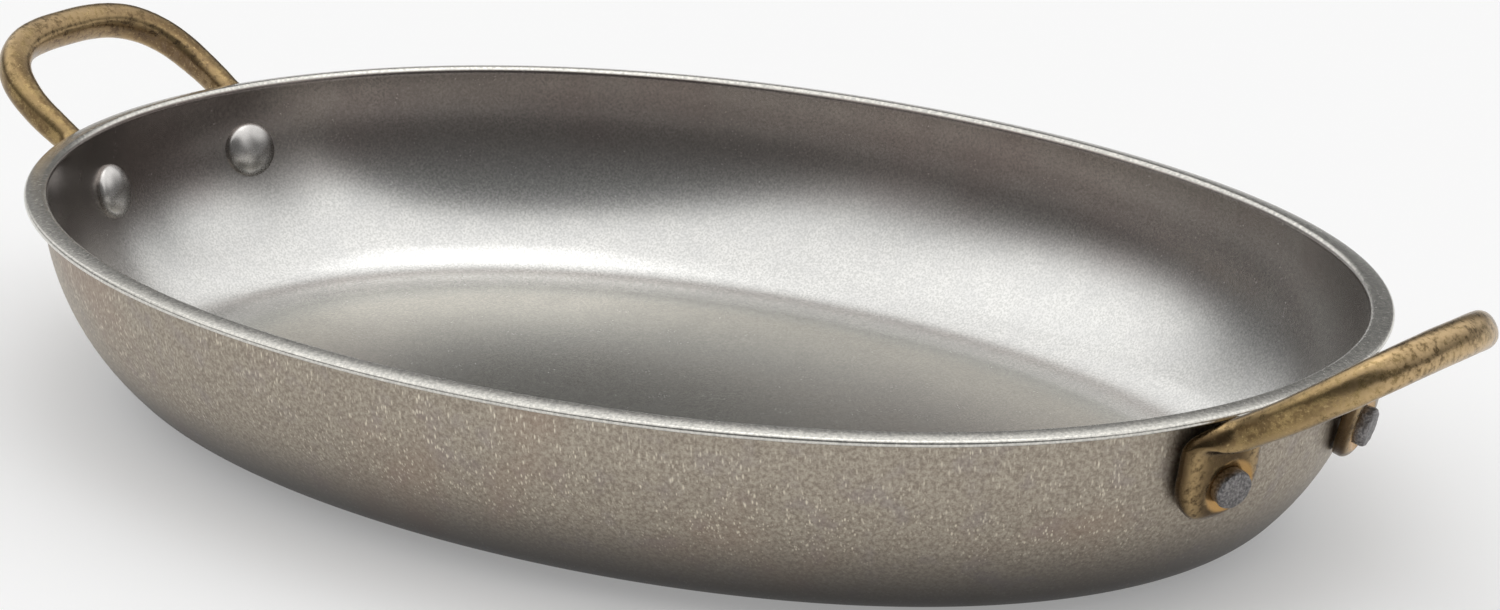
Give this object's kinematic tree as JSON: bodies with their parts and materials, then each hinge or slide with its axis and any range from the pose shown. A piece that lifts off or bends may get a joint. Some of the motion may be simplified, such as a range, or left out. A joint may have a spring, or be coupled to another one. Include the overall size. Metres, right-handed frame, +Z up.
{
  "type": "oval serving dish",
  "caption": "Oval pressed steel serving dish with a flared flat lip and a riveted cast brass loop handle at each end.",
  "frame": {"origin": "centre of the dish's flat underside", "axes": "+Z up, +X along the long axis through both handles, +Y across the dish"},
  "size_m": [0.3334, 0.199, 0.0546],
  "materials": {
    "pan_steel": "stonewashed, warm grey with fine speckle and short scratches",
    "aged_brass": "aged cast brass, mottled brown and gold, brighter on worn edges",
    "rivet_steel": "smooth domed heads inside, rough dark hammered ends outside"
  },
  "bodies": {
    "root": {"dish_body": "pan_steel", "handle_right": "aged_brass", "handle_left": "aged_brass", "rivet_right_back": "rivet_steel", "rivet_right_front": "rivet_steel", "rivet_left_back": "rivet_steel", "rivet_left_front": "rivet_steel"}
  },
  "joints": []
}
